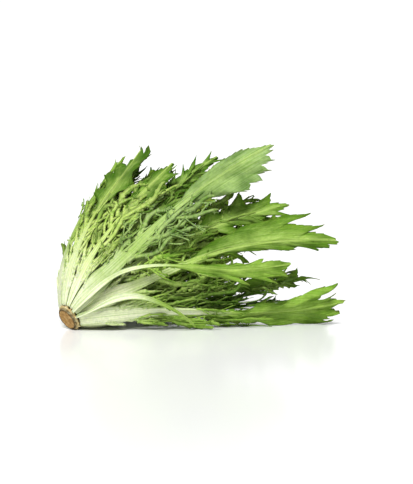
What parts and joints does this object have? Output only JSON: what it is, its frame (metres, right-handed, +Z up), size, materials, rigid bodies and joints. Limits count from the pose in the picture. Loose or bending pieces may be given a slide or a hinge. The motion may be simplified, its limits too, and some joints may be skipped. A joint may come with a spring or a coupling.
{
  "type": "curly endive head",
  "caption": "Cut head of curly endive lying on its side: deeply cut, frilled leaves on pale ribs fan out from a short round stem.",
  "frame": {"origin": "on the table, under the middle of the head's bounding box", "axes": "+Z up; +X from the cut stem towards the leaf tips; +Y across the head, away from the side with the longest leaves in view"},
  "size_m": [0.2382, 0.3154, 0.1761],
  "materials": {
    "stem": "matte",
    "outer_leaf": "satin",
    "inner_leaf": "satin",
    "heart_leaf": "satin"
  },
  "bodies": {
    "root": {"stem": "stem", "lowest_leaf_1": "outer_leaf", "lowest_leaf_2": "outer_leaf", "outer_leaf_1": "outer_leaf", "outer_leaf_2": "outer_leaf", "outer_leaf_3": "outer_leaf", "outer_leaf_4": "outer_leaf", "outer_leaf_5": "outer_leaf", "outer_leaf_6": "outer_leaf", "outer_leaf_7": "outer_leaf", "under_leaf_1": "outer_leaf", "under_leaf_2": "outer_leaf", "under_leaf_3": "outer_leaf", "under_leaf_4": "outer_leaf", "under_leaf_5": "outer_leaf", "under_leaf_6": "outer_leaf", "under_leaf_7": "outer_leaf", "under_leaf_8": "outer_leaf", "middle_leaf_1": "inner_leaf", "middle_leaf_2": "inner_leaf", "middle_leaf_3": "inner_leaf", "middle_leaf_4": "inner_leaf", "middle_leaf_5": "inner_leaf", "middle_leaf_6": "inner_leaf", "inner_leaf_1": "inner_leaf", "inner_leaf_2": "inner_leaf", "inner_leaf_3": "inner_leaf", "inner_leaf_4": "inner_leaf", "inner_leaf_5": "inner_leaf", "heart_leaf_1": "heart_leaf", "heart_leaf_2": "heart_leaf", "heart_leaf_3": "heart_leaf", "heart_leaf_4": "heart_leaf", "bud_leaf_1": "heart_leaf", "bud_leaf_2": "heart_leaf", "bud_leaf_3": "heart_leaf"}
  },
  "joints": []
}
